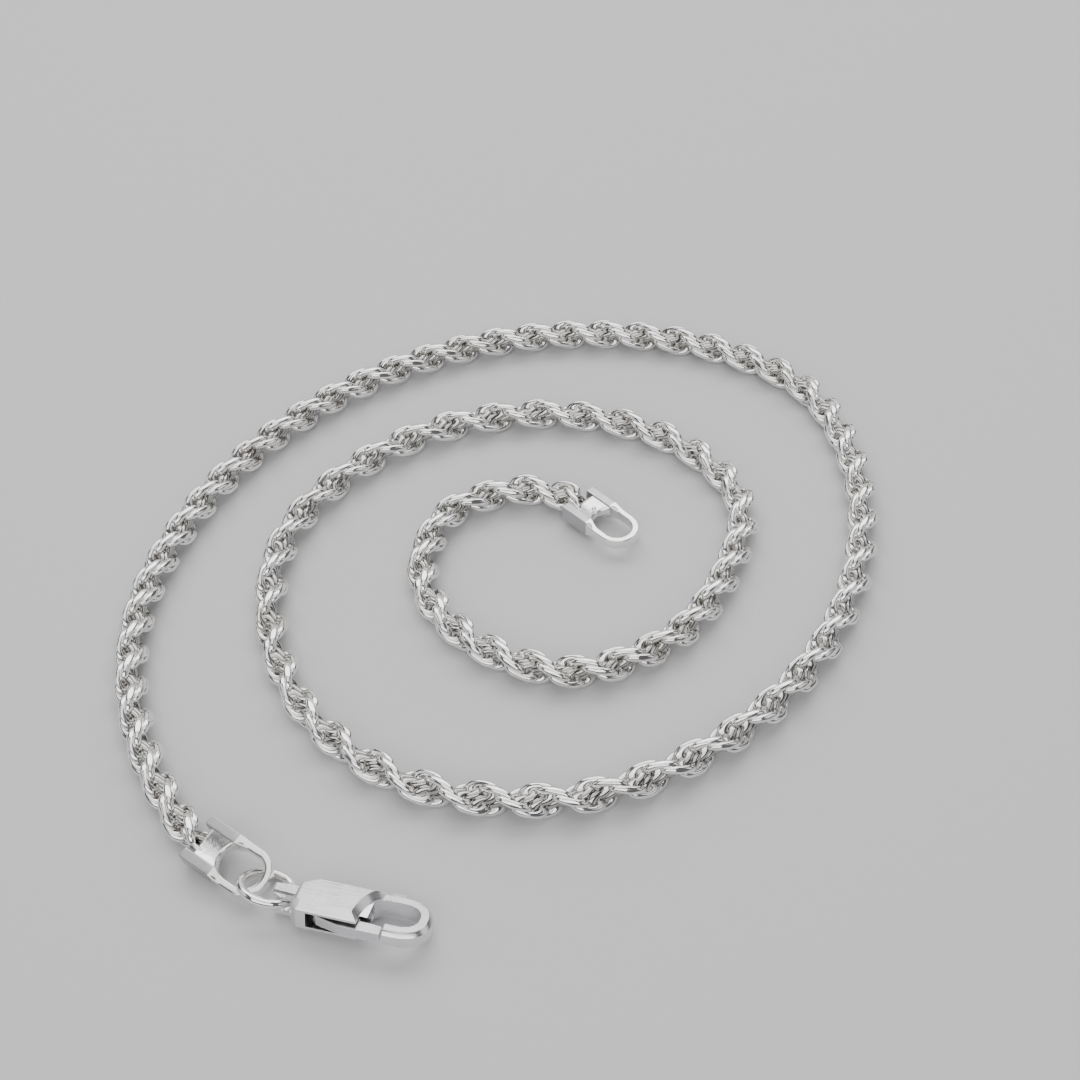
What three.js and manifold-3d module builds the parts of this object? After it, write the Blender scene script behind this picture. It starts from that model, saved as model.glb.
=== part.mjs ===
// Rope-chain necklace with soldered end caps, a jump ring and a lobster clasp.
// Millimetres, +Z up. The necklace lies coiled on the plane z = 0; the origin is on that
// plane, under the middle of the necklace's overall box.
import * as THREE from "three";
import Module from "manifold-3d";
import { mergeVertices } from "three/addons/utils/BufferGeometryUtils.js";

const wasm = await Module();
wasm.setup();

// ---- driving dimensions -----------------------------------------------------------
const ROPE_DIAMETER = 3.6;
const ROPE_WAIST = 2.1;
const RUN_COUNT = 43;
const TURNS_PER_RUN = 1;
const RUN_STEPS = 12;
const LOBE_POINTS = 10;

const HINGE_SWING = THREE.MathUtils.degToRad(30);
const END_GAP = 0.3;
const END_NECK = 0.42;

const CAP_LENGTH = 8.8;
const CAP_WIDTH = 5.0;
const CAP_MOUTH = 0.8;
const LEG_THICKNESS = 1.1;
const LEG_HEIGHT = 1.9;
const LOOP_THICKNESS = 0.75;
const LOOP_HEIGHT = 1.15;
const SHOULDER_START = 2.8;
const SHOULDER_END = 1.2;
const WEB_LENGTH = 4.0;
const WEB_THICKNESS = 1.1;
const STUB_LENGTH = 3.2;
const STUB_SCALE = 0.72;

const RING_RADIUS = 2.6;
const RING_WIRE = 0.8;
const RING_REACH = 2.7;
const RING_SIDE = -0.05;

const CLASP_HEIGHT = 3.4;
const CLASP_BEVEL = 0.6;
const CLASP_HALF_WIDTH = 2.2;
const HOOK_HEIGHT = 1.9;
const HOOK_HALF_WIDTH = 2.55;
const HOOK_START = 5.3;
const HOOK_END = 13.5;
const HOOK_BAND = 1.1;
const THROAT_START = 7.7;
const TAIL_HOLE = 1.9;
const TAIL_HOLE_X = -0.45;
const TAIL_END = -1.73;
const TAIL_TOP = 1.3;
const TAIL_STEP = 1.1;
const TAIL_HALF_WIDTH = 0.65;
const NECK_HALF_WIDTH = 0.8;
const NECK_END = 0.8;
const SHELL_START = 2.2;
const SHELL_NEAR_END = 6.3;
const SHELL_FAR_END = 7.1;
const SLOT_FLOOR = 0.6;
const PIN_X = 3.3;
const PIN_Y = -1.0;
const PIN_DIAMETER = 0.8;
const PIN_CLEARANCE = 0.05;
const LEVER_EYE = 0.95;
const LEVER_HEIGHT = 1.1;
const LEVER_WIDTH = 1.0;
const LEVER_TIP = 9.2;
const LEVER_BORE_CLEARANCE = 0.15;
const SPRING_WIRE = 0.22;
const FIT_GAP = 0.3;

const REST_HEIGHT = ROPE_DIAMETER / 2;

// The route and the end pieces are laid out about the middle of the coil; this is where
// that middle lies from the origin.
const COIL_MIDDLE = { x: 2.97, y: 7.03 };

// Middle line of the rope in plan, from the clasp end round to the free inner end.
const ROUTE_POINTS = [
  [-33.3, -40.5], [-35.4, -37.4], [-39.2, -30.8], [-42.5, -20.5], [-42.9, -9.0],
  [-39.3, 4.5], [-32.0, 17.2], [-20.8, 28.2], [-7.0, 35.2], [8.0, 37.3],
  [22.0, 34.4], [32.6, 26.4], [36.8, 13.0], [35.4, -3.1], [29.0, -17.6],
  [18.0, -29.2], [3.7, -35.9], [-12.0, -34.4], [-22.8, -26.1], [-28.6, -13.4],
  [-28.4, 0.5], [-21.2, 12.2], [-9.6, 19.9], [4.1, 21.5], [16.4, 16.4],
  [22.9, 6.7], [20.6, -4.9], [14.0, -14.9], [3.3, -19.6], [-7.3, -15.1],
  [-12.8, -5.9], [-10.2, 4.3], [-2.1, 8.2], [3.7, 6.9],
];

// Height of the middle, heading and roll about its own long axis of each end piece.
const OUTER_CAP = { x: -33.3, y: -40.5, z: 2.15, heading: -36, pitch: 2.5, roll: 14 };
const INNER_CAP = { x: 3.7, y: 6.9, z: 1.7, heading: -46, pitch: 0, roll: 0 };
const RING_REST = { heading: -34, pitch: 0, roll: -28 };
const CLASP_REST = { z: 2.0, heading: -14, pitch: 0, roll: -12 };
const CLASP_TURN = 4;
const CLASP_SLACK = 0.2;

// ---- helpers ----------------------------------------------------------------------
const radians = THREE.MathUtils.degToRad;

function toManifold(geometry) {
  const bare = geometry.clone();
  bare.deleteAttribute("normal");
  bare.deleteAttribute("uv");
  const merged = mergeVertices(bare, 1e-4);
  return new wasm.Manifold(new wasm.Mesh({
    numProp: 3,
    vertProperties: new Float32Array(merged.attributes.position.array),
    triVerts: new Uint32Array(merged.index.array),
  }));
}

function fromManifold(body) {
  const mesh = body.getMesh();
  const geometry = new THREE.BufferGeometry();
  geometry.setAttribute("position", new THREE.BufferAttribute(new Float32Array(mesh.vertProperties), 3));
  geometry.setIndex(new THREE.BufferAttribute(new Uint32Array(mesh.triVerts), 1));
  return faceted(geometry);
}

function faceted(geometry) {
  const loose = geometry.index ? geometry.toNonIndexed() : geometry;
  loose.computeVertexNormals();
  return loose;
}

function namedMesh(name, geometry, colour, roughness) {
  const material = new THREE.MeshStandardMaterial({ color: colour, roughness, metalness: 1 });
  const mesh = new THREE.Mesh(geometry, material);
  mesh.name = name;
  return mesh;
}

// Turns a mesh to its heading, dips its nose by the pitch, then rolls it about its x axis.
function layAt(mesh, position, { heading, pitch, roll }) {
  mesh.rotation.set(radians(roll), radians(pitch), radians(heading), "ZYX");
  mesh.position.copy(position);
  mesh.updateMatrix();
  return mesh;
}

function polygon(points) {
  return new THREE.Shape(points.map(([x, y]) => new THREE.Vector2(x, y)));
}

// A flat outline thickened evenly above and below its own plane.
function plate(shape, thickness, curveSegments) {
  const geometry = new THREE.ExtrudeGeometry(shape, { depth: thickness, bevelEnabled: false, curveSegments });
  geometry.translate(0, 0, -thickness / 2);
  return geometry;
}

function block(x0, x1, y0, y1, height) {
  const geometry = new THREE.BoxGeometry(x1 - x0, y1 - y0, height);
  geometry.translate((x0 + x1) / 2, (y0 + y1) / 2, 0);
  return geometry;
}

function uprightRod(diameter, length, x, y, sides) {
  const geometry = new THREE.CylinderGeometry(diameter / 2, diameter / 2, length, sides);
  geometry.rotateX(Math.PI / 2);
  geometry.translate(x, y, 0);
  return geometry;
}

// ---- the rope ---------------------------------------------------------------------
const route = new THREE.CatmullRomCurve3(
  ROUTE_POINTS.map(([x, y]) => new THREE.Vector3(x, y, REST_HEIGHT)),
  false,
  "centripetal",
);
route.arcLengthDivisions = 1200;
const RUN_LENGTH = route.getLength() / RUN_COUNT;

function headingAt(u) {
  const tangent = route.getTangentAt(u);
  return Math.atan2(tangent.y, tangent.x);
}

function ropeSection() {
  const mean = (ROPE_DIAMETER + ROPE_WAIST) / 4;
  const swell = (ROPE_DIAMETER - ROPE_WAIST) / 4;
  const points = [];
  for (let i = 0; i < LOBE_POINTS; i++) {
    const angle = (i / LOBE_POINTS) * 2 * Math.PI;
    const radius = mean + swell * Math.cos(2 * angle);
    points.push([radius * Math.cos(angle), radius * Math.sin(angle)]);
  }
  return polygon(points);
}

// How far a point of the rope stands back from the hinge at its end, so that two
// neighbours can swing against each other without touching.
function setBack(radius) {
  return END_GAP / 2 + radius * Math.tan(HINGE_SWING / 2);
}

// Straight two-lobed rope along +z, twisted right-handed and necked in at both ends.
function twistedRope(length, turns, steps) {
  const geometry = new THREE.ExtrudeGeometry(ropeSection(), { depth: length, steps, bevelEnabled: false });
  const at = geometry.attributes.position;
  const turned = new THREE.Vector3();
  for (let i = 0; i < at.count; i++) {
    const step = Math.round((at.getZ(i) / length) * steps);
    const isEnd = step === 0 || step === steps;
    turned.set(at.getX(i), at.getY(i), 0).multiplyScalar(isEnd ? END_NECK : 1);
    const back = setBack(turned.length());
    const inner = (step - 1) / (steps - 2);
    const along = isEnd ? (step === 0 ? back : length - back) : back + inner * (length - 2 * back);
    turned.applyAxisAngle(new THREE.Vector3(0, 0, 1), (turns * 2 * Math.PI * step) / steps);
    at.setXYZ(i, turned.x, turned.y, along);
  }
  return geometry;
}

// The same rope bent along its stretch of the route, measured from its own hinge.
function chainRun(index) {
  const start = route.getPointAt(index / RUN_COUNT);
  const heading = headingAt(index / RUN_COUNT);
  const geometry = twistedRope(RUN_LENGTH, TURNS_PER_RUN, RUN_STEPS);
  const at = geometry.attributes.position;
  for (let i = 0; i < at.count; i++) {
    const u = (index + at.getZ(i) / RUN_LENGTH) / RUN_COUNT;
    const middle = route.getPointAt(u);
    const tangent = route.getTangentAt(u);
    const side = at.getX(i);
    at.setXYZ(
      i,
      middle.x - start.x - tangent.y * side,
      middle.y - start.y + tangent.x * side,
      at.getY(i),
    );
  }
  geometry.rotateZ(-heading);
  const name = `chain_run_${String(index + 1).padStart(2, "0")}`;
  const mesh = namedMesh(name, faceted(geometry), 0xdcdee0, 0.22);
  return layAt(mesh, start, { heading: THREE.MathUtils.radToDeg(heading), pitch: 0, roll: 0 });
}

// ---- end caps ---------------------------------------------------------------------
// Local frame of a cap: x from the rope's last hinge to the tip of the loop, z up.
const CAP_HALF = CAP_WIDTH / 2;
const LOOP_CENTRE = CAP_MOUTH + CAP_LENGTH - CAP_HALF;

function strapOutline() {
  const thick = LOOP_CENTRE - SHOULDER_START;
  const thin = LOOP_CENTRE - SHOULDER_END;
  const legInner = CAP_HALF - LEG_THICKNESS;
  const loopInner = CAP_HALF - LOOP_THICKNESS;
  const shape = new THREE.Shape();
  shape.moveTo(CAP_MOUTH, -CAP_HALF);
  shape.lineTo(thick, -CAP_HALF);
  shape.lineTo(thin, -CAP_HALF);
  shape.lineTo(LOOP_CENTRE, -CAP_HALF);
  shape.absarc(LOOP_CENTRE, 0, CAP_HALF, -Math.PI / 2, Math.PI / 2, false);
  shape.lineTo(thin, CAP_HALF);
  shape.lineTo(thick, CAP_HALF);
  shape.lineTo(CAP_MOUTH, CAP_HALF);
  shape.lineTo(CAP_MOUTH, legInner);
  shape.lineTo(thick, legInner);
  shape.lineTo(thin, loopInner);
  shape.lineTo(LOOP_CENTRE, loopInner);
  shape.absarc(LOOP_CENTRE, 0, loopInner, Math.PI / 2, -Math.PI / 2, true);
  shape.lineTo(thin, -loopInner);
  shape.lineTo(thick, -legInner);
  shape.lineTo(CAP_MOUTH, -legInner);
  return shape;
}

// Side view of the strap: high legs, then a shoulder down to the low loop.
function strapProfile() {
  const thick = LOOP_CENTRE - SHOULDER_START;
  const thin = LOOP_CENTRE - SHOULDER_END;
  const end = CAP_MOUTH + CAP_LENGTH + 1;
  const leg = LEG_HEIGHT / 2;
  const loop = LOOP_HEIGHT / 2;
  const geometry = plate(polygon([
    [0, -leg], [thick, -leg], [thin, -loop], [end, -loop],
    [end, loop], [thin, loop], [thick, leg], [0, leg],
  ]), 2 * CAP_WIDTH, 1);
  geometry.rotateX(Math.PI / 2);
  return geometry;
}

// Flat strap bent into a U, with high thick legs and a loop filed low and thin.
function capStrap() {
  const bent = toManifold(plate(strapOutline(), 2 * LEG_HEIGHT, 10));
  return bent.intersect(toManifold(strapProfile()));
}

// Solder filling the mouth of the cap, hollowed where it faces the loop.
function capWeb() {
  const half = CAP_HALF - LEG_THICKNESS / 2;
  const end = CAP_MOUTH + WEB_LENGTH;
  const shape = new THREE.Shape();
  shape.moveTo(CAP_MOUTH + 0.3, -half);
  shape.lineTo(end, -half);
  shape.quadraticCurveTo(end - half, 0, end, half);
  shape.lineTo(CAP_MOUTH + 0.3, half);
  return plate(shape, WEB_THICKNESS, 6);
}

// Last turn of the rope, drawn in between the legs and soldered there.
function capStub() {
  const geometry = twistedRope(STUB_LENGTH, 0.35, 4);
  geometry.scale(STUB_SCALE, STUB_SCALE, 1);
  geometry.rotateY(Math.PI / 2);
  return geometry;
}

function endCap(name, place) {
  const body = capStrap().add(toManifold(capWeb())).add(toManifold(capStub()));
  const mesh = namedMesh(name, fromManifold(body), 0xd2d4d6, 0.3);
  return layAt(mesh, new THREE.Vector3(place.x, place.y, place.z), place);
}

// ---- jump ring --------------------------------------------------------------------
function jumpRing() {
  const geometry = new THREE.TorusGeometry(RING_RADIUS, RING_WIRE / 2, 8, 28);
  const mesh = namedMesh("jump_ring", faceted(geometry), 0xe0e1e2, 0.15);
  const cap = layAt(new THREE.Object3D(), new THREE.Vector3(OUTER_CAP.x, OUTER_CAP.y, OUTER_CAP.z), OUTER_CAP);
  const centre = new THREE.Vector3(LOOP_CENTRE + RING_REACH, RING_SIDE, 0).applyMatrix4(cap.matrix);
  return layAt(mesh, centre, RING_REST);
}

// ---- lobster clasp ----------------------------------------------------------------
// Local frame: x from the middle of the tail hole to the hook, z up through the flat.
function layWithClasp(mesh) {
  const turn = radians(CLASP_TURN);
  const reach = RING_RADIUS + CLASP_SLACK;
  const eye = new THREE.Vector3(reach * Math.cos(turn), reach * Math.sin(turn), 0);
  eye.applyMatrix4(jumpRing().matrix).setZ(CLASP_REST.z);
  return layAt(mesh, eye, CLASP_REST);
}

// The thick part of the body, bevelled all round.
function claspShell() {
  const half = CLASP_HALF_WIDTH - CLASP_BEVEL;
  const neck = NECK_HALF_WIDTH - CLASP_BEVEL;
  const tip = TAIL_HALF_WIDTH - CLASP_BEVEL;
  const tail = TAIL_END + CLASP_BEVEL;
  const shape = polygon([
    [tail, -tip], [NECK_END, -neck], [SHELL_START, -half], [SHELL_NEAR_END, -half],
    [SHELL_FAR_END, neck], [SHELL_FAR_END, half], [SHELL_START, half], [NECK_END, neck], [tail, tip],
  ]);
  const flat = CLASP_HEIGHT - 2 * CLASP_BEVEL;
  const geometry = new THREE.ExtrudeGeometry(shape, {
    depth: flat,
    bevelEnabled: true,
    bevelThickness: CLASP_BEVEL,
    bevelSize: CLASP_BEVEL,
    bevelSegments: 1,
  });
  geometry.translate(0, 0, -flat / 2);
  return geometry;
}

// Outline of the hook or of its opening, rounded at the far end.
function hookOutline(halfWidth, start, end) {
  const bend = end - halfWidth * 1.25;
  const shape = new THREE.Shape();
  shape.moveTo(start, -halfWidth * 0.82);
  shape.quadraticCurveTo((start + bend) / 2, -halfWidth, bend, -halfWidth);
  shape.bezierCurveTo(end - halfWidth * 0.4, -halfWidth, end, -halfWidth * 0.6, end, 0);
  shape.bezierCurveTo(end, halfWidth * 0.6, end - halfWidth * 0.4, halfWidth, bend, halfWidth);
  shape.quadraticCurveTo((start + bend) / 2, halfWidth, start, halfWidth * 0.82);
  return shape;
}

function claspHook() {
  const outer = toManifold(plate(hookOutline(HOOK_HALF_WIDTH, HOOK_START, HOOK_END), HOOK_HEIGHT, 6));
  const openingHalf = HOOK_HALF_WIDTH - HOOK_BAND;
  const opening = plate(hookOutline(openingHalf, THROAT_START, HOOK_END - HOOK_BAND), 2 * HOOK_HEIGHT, 6);
  const gate = block(HOOK_START - 1, LEVER_TIP + FIT_GAP, -2 * HOOK_HALF_WIDTH, -0.8 * openingHalf, 2 * HOOK_HEIGHT);
  return outer.subtract(toManifold(opening)).subtract(toManifold(gate));
}

// The tail is a low loop, with its hole across the clasp for the jump ring.
function tailCut() {
  const step = block(TAIL_END - 1, TAIL_STEP, -CLASP_HALF_WIDTH, CLASP_HALF_WIDTH, CLASP_HEIGHT);
  step.translate(0, 0, TAIL_TOP + CLASP_HEIGHT / 2);
  const hole = new THREE.CylinderGeometry(TAIL_HOLE / 2, TAIL_HOLE / 2, 3 * CLASP_HALF_WIDTH, 14);
  hole.translate(TAIL_HOLE_X, 0, (TAIL_TOP - CLASP_HEIGHT / 2) / 2);
  return toManifold(step).add(toManifold(hole));
}

function claspBody() {
  const slotHeight = LEVER_HEIGHT + 2 * FIT_GAP;
  const slotStart = PIN_X - LEVER_EYE - FIT_GAP;
  const slot = block(slotStart, THROAT_START + 1, -2 * CLASP_HALF_WIDTH, SLOT_FLOOR, slotHeight);
  const pinHole = uprightRod(PIN_DIAMETER + 2 * PIN_CLEARANCE, 2 * CLASP_HEIGHT, PIN_X, PIN_Y, 16);
  const body = toManifold(claspShell())
    .add(claspHook())
    .subtract(tailCut())
    .subtract(toManifold(slot))
    .subtract(toManifold(pinHole));
  return layWithClasp(namedMesh("clasp_body", fromManifold(body), 0xd9dbde, 0.2));
}

// Gate bar with an eye round the pin; its tip closes against the hook.
function claspLever() {
  const outerEdge = -HOOK_HALF_WIDTH;
  const innerEdge = outerEdge + LEVER_WIDTH;
  const bar = polygon([
    [PIN_X - 0.3, outerEdge + 0.6], [PIN_X + 2.2, outerEdge], [LEVER_TIP, outerEdge],
    [LEVER_TIP, innerEdge], [PIN_X + 2.2, innerEdge + 0.3], [PIN_X + 0.6, PIN_Y + 0.6],
  ]);
  const eye = uprightRod(2 * LEVER_EYE, LEVER_HEIGHT, PIN_X, PIN_Y, 18);
  const bore = uprightRod(PIN_DIAMETER + 2 * LEVER_BORE_CLEARANCE, 4, PIN_X, PIN_Y, 18);
  const body = toManifold(plate(bar, LEVER_HEIGHT, 1)).add(toManifold(eye)).subtract(toManifold(bore));
  return layWithClasp(namedMesh("clasp_lever", fromManifold(body), 0xcfd1d4, 0.35));
}

function claspPin() {
  const geometry = uprightRod(PIN_DIAMETER, CLASP_HEIGHT - 0.1, PIN_X, PIN_Y, 16);
  return layWithClasp(namedMesh("clasp_pin", faceted(geometry), 0xc9cbce, 0.3));
}

// Bent leaf between the back wall of the slot and the lever.
function claspSpring() {
  const wall = SLOT_FLOOR - 0.1;
  const fold = PIN_X + 1.3;
  const foot = PIN_X + 4.2;
  const touch = PIN_X + 3.6;
  const lever = -HOOK_HALF_WIDTH + LEVER_WIDTH + 0.4;
  const leaf = polygon([
    [foot, wall], [fold + 0.3, wall], [fold, wall - 0.3], [touch, lever], [touch + 0.1, lever + 0.2],
    [fold + 0.45, wall - 0.28], [fold + 0.55, wall - SPRING_WIRE], [foot, wall - SPRING_WIRE],
  ]);
  return layWithClasp(namedMesh("clasp_spring", faceted(plate(leaf, 0.8, 1)), 0xb9bcc0, 0.35));
}

// ---- assembly ---------------------------------------------------------------------
const necklace = new THREE.Group();
necklace.name = "rope_chain_necklace";
necklace.add(endCap("end_cap_outer", OUTER_CAP));
for (let i = 0; i < RUN_COUNT; i++) {
  necklace.add(chainRun(i));
}
necklace.add(endCap("end_cap_inner", INNER_CAP));
necklace.add(jumpRing(), claspBody(), claspLever(), claspPin(), claspSpring());
for (const mesh of necklace.children) {
  mesh.position.x += COIL_MIDDLE.x;
  mesh.position.y += COIL_MIDDLE.y;
}

export default necklace;
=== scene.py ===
import math

import bmesh
import bpy
import numpy as np
from mathutils import Euler, Matrix, Vector


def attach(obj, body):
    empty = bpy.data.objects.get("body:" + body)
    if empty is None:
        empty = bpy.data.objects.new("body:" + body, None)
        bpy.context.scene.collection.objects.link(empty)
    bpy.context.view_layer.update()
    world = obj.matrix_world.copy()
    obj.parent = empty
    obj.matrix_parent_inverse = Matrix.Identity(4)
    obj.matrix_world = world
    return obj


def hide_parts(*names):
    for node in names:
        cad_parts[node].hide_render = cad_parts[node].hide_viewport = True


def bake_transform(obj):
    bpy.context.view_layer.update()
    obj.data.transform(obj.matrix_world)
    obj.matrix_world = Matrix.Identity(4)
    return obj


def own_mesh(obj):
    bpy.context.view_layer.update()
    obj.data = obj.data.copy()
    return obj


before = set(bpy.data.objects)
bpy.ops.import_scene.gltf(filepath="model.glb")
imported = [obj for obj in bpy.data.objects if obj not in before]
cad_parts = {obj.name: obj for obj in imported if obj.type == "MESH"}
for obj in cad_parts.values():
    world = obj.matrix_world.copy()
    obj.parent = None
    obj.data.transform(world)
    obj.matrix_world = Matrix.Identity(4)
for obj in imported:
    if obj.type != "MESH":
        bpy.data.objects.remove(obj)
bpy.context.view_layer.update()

MM = 0.001

# ---- sizes of the real necklace, in millimetres -------------------------------------
ROPE_RADIUS = 1.8
RUN_COUNT = 43
RINGS_PER_RUN = 14
WIRE = 0.85
RING_BEND = 1.0 * WIRE
RING_STRETCH = 1.6
RING_OFFSET = (0.0, 0.75 * WIRE)
RING_NORMAL = (1.0, 0.0, 0.35)
TURN_PER_RING = math.pi + 2 * math.pi / RINGS_PER_RUN
# Where the lay is looser, in runs from the outer end, how fast that fades and by how much.
LOOSE_FROM = 16.0
LOOSE_TO = 33.0
LOOSE_FADE = 1.2
LOOSE_GAIN = 0.22

CAP_LENGTH = 8.8
CAP_HALF = 2.5
CAP_MOUTH = 0.8
LEG_THICKNESS = 1.1
LEG_HEIGHT = 1.9
LOOP_THICKNESS = 0.75
LOOP_HEIGHT = 1.15
SHOULDER_START = 2.8
SHOULDER_END = 1.2
WEB_LENGTH = 4.0
LOOP_CENTRE = CAP_MOUTH + CAP_LENGTH - CAP_HALF
SOLDER_DENTS = ((3.7, -0.15), (3.3, 0.2))

JUMP_RADIUS = 2.6
JUMP_WIRE = 0.88
JUMP_REACH = 2.7
JUMP_SIDE = -0.05

CLASP_HEIGHT = 3.4
CLASP_BEVEL = 0.6
CLASP_HALF_WIDTH = 2.2
NOSE_START = 0.35
NOSE_NEAR = 1.45
NOSE_FAR = 1.15
NEAR_SHOULDER = 1.15
FAR_SHOULDER = 2.2
SHELL_NEAR_END = 6.3
SHELL_FAR_END = 7.1
SLOT_FLOOR = 0.6
HOOK_HEIGHT = 1.9
HOOK_HALF_WIDTH = 2.55
HOOK_START = 5.3
HOOK_END = 13.5
HOOK_BAND = 1.1
HOOK_CHAMFER = 0.38
THROAT_START = 7.7
TAB_ALONG = (9.0, 10.2)
TAB_HEIGHT = (-0.2, 0.62)
TAB_BURY = 0.4
TAB_PROUD = 0.28
TAIL_HOLE = 1.9
TAIL_HOLE_X = -0.45
TAIL_END = -1.73
TAIL_TOP = 1.3
TAIL_STEP = 1.1
TAIL_BURY = 0.6
TAIL_CHAMFER = 0.2
TAIL_HALF_WIDTH = 0.65
NECK_HALF_WIDTH = 0.8

PIN = (3.3, -1.0)
PIN_DIAMETER = 0.8
PIN_PLAY = 0.15
PIN_SUNK = 0.06
# Radius and depth below the pin's end, down the rounded end.
PIN_DOME = [(0, 0.02), (0.22, 0.03), (0.34, 0.08), (0.40, 0.16), (0.40, 0.3)]

FIT_GAP = 0.3
LEVER_EYE = 0.95
LEVER_HEIGHT = 1.1
LEVER_WIDTH = 1.0
LEVER_TIP = 9.2
# The bar's outline near the pin, as offsets.
LEVER_HEEL = 0.3
LEVER_ROOT = 0.6
LEVER_KNEE = 2.2
LEVER_SLOPE = 0.6
LEVER_TAPER = 0.3

SPRING_THICKNESS = 0.22
SPRING_HALF_HEIGHT = 0.4
SPRING_STAND_OFF = 0.45
# Distances along the clasp from the pin.
SPRING_FOLD = 1.4
SPRING_FOOT = 4.2
SPRING_TIP = 3.6

# Middle line of the rope in plan about the middle of the coil, from the clasp end in.
COIL_MIDDLE = (2.97, 7.03)
ROUTE_POINTS = [
    (-33.3, -40.5), (-35.4, -37.4), (-39.2, -30.8), (-42.5, -20.5), (-42.9, -9.0),
    (-39.3, 4.5), (-32.0, 17.2), (-20.8, 28.2), (-7.0, 35.2), (8.0, 37.3),
    (22.0, 34.4), (32.6, 26.4), (36.8, 13.0), (35.4, -3.1), (29.0, -17.6),
    (18.0, -29.2), (3.7, -35.9), (-12.0, -34.4), (-22.8, -26.1), (-28.6, -13.4),
    (-28.4, 0.5), (-21.2, 12.2), (-9.6, 19.9), (4.1, 21.5), (16.4, 16.4),
    (22.9, 6.7), (20.6, -4.9), (14.0, -14.9), (3.3, -19.6), (-7.3, -15.1),
    (-12.8, -5.9), (-10.2, 4.3), (-2.1, 8.2), (3.7, 6.9),
]


# ---- places -------------------------------------------------------------------------
def place(x, y, z, heading, pitch, roll):
    """Where a rigid piece lies: turned to its heading, dipped, then rolled on its axis."""
    turn = Euler([math.radians(a) for a in (roll, pitch, heading)], "XYZ").to_matrix().to_4x4()
    return Matrix.Translation((x, y, z)) @ turn


def coil_place(x, y, z, heading, pitch, roll):
    """A place given from the middle of the coil."""
    return place(x + COIL_MIDDLE[0], y + COIL_MIDDLE[1], z, heading, pitch, roll)


OUTER_CAP = coil_place(-33.3, -40.5, 2.15, -36, 2.5, 14)
INNER_CAP = coil_place(3.7, 6.9, 1.7, -46, 0, 0)
JUMP_RING = place(*(OUTER_CAP @ Vector((LOOP_CENTRE + JUMP_REACH, JUMP_SIDE, 0))), -34, 0, -28)
CLASP_Z = 2.0
EYE_TURN = math.radians(4)
EYE_REACH = JUMP_RADIUS + 0.2
EYE = JUMP_RING @ Vector((EYE_REACH * math.cos(EYE_TURN), EYE_REACH * math.sin(EYE_TURN), 0))
CLASP = place(EYE.x, EYE.y, CLASP_Z, -14, 0, -12)


# ---- mesh helpers -------------------------------------------------------------------
def new_object(name, mesh, material):
    """An object of a mesh, with its material if it has one yet."""
    obj = bpy.data.objects.new(name, mesh)
    bpy.context.collection.objects.link(obj)
    if material is not None:
        mesh.materials.append(material)
    return obj


def mesh_from(name, points, faces):
    """A mesh from points in millimetres."""
    mesh = bpy.data.meshes.new(name)
    mesh.from_pydata((np.asarray(points) * MM).tolist(), [], faces)
    return mesh


def turn_outwards(mesh):
    """Turns the faces of a closed mesh outwards."""
    work = bmesh.new()
    work.from_mesh(mesh)
    bmesh.ops.recalc_face_normals(work, faces=work.faces)
    work.to_mesh(mesh)
    work.free()


def weld(mesh, distance=1e-7):
    """Joins points that lie within a distance, in metres, of each other."""
    work = bmesh.new()
    work.from_mesh(mesh)
    bmesh.ops.remove_doubles(work, verts=work.verts, dist=distance)
    work.to_mesh(mesh)
    work.free()


def tube_grid(rows, columns):
    """Quads of a grid that closes both ways."""
    faces = []
    for i in range(rows):
        for j in range(columns):
            k, m = (i + 1) % rows, (j + 1) % columns
            faces.append((i * columns + j, k * columns + j, k * columns + m, i * columns + m))
    return faces


def prism(name, outline, low, high, bevel=0.0):
    """A closed solid of an outline in plan, with its top and bottom edges chamfered."""
    count = len(outline)
    levels = [(low, bevel), (low + bevel, 0.0), (high - bevel, 0.0), (high, bevel)]
    if bevel == 0:
        levels = [(low, 0.0), (high, 0.0)]
    points = []
    for z, inset in levels:
        points += [(x, y, z) for x, y in inset_outline(outline, inset)]
    faces = [tuple(reversed(range(count)))]
    for level in range(len(levels) - 1):
        base = level * count
        for i in range(count):
            j = (i + 1) % count
            faces.append((base + i, base + j, base + count + j, base + count + i))
    top = (len(levels) - 1) * count
    faces.append(tuple(range(top, top + count)))
    return new_object(name, mesh_from(name, points, faces), None)


def inset_outline(outline, distance):
    """The outline moved inwards by a distance, corner by corner (outline runs anticlockwise)."""
    if distance == 0:
        return list(outline)
    moved = []
    count = len(outline)
    for i in range(count):
        before = Vector(outline[i]) - Vector(outline[i - 1])
        after = Vector(outline[(i + 1) % count]) - Vector(outline[i])
        n1 = Vector((-before.y, before.x)).normalized()
        n2 = Vector((-after.y, after.x)).normalized()
        middle = n1 + n2
        moved.append(tuple(Vector(outline[i]) + middle * (distance / max(0.35, middle.dot(n1)))))
    return moved


def cylinder(name, radius, start, end, sides=48):
    """A rod between two points."""
    axis = Vector(end) - Vector(start)
    across = axis.orthogonal().normalized()
    up = axis.normalized().cross(across)
    points = []
    for base in (Vector(start), Vector(end)):
        for i in range(sides):
            angle = 2 * math.pi * i / sides
            on_circle = base + across * radius * math.cos(angle) + up * radius * math.sin(angle)
            points.append(tuple(on_circle))
    faces = [tuple(reversed(range(sides))), tuple(range(sides, 2 * sides))]
    faces += [(i, (i + 1) % sides, sides + (i + 1) % sides, sides + i) for i in range(sides)]
    return new_object(name, mesh_from(name, points, faces), None)


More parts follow.
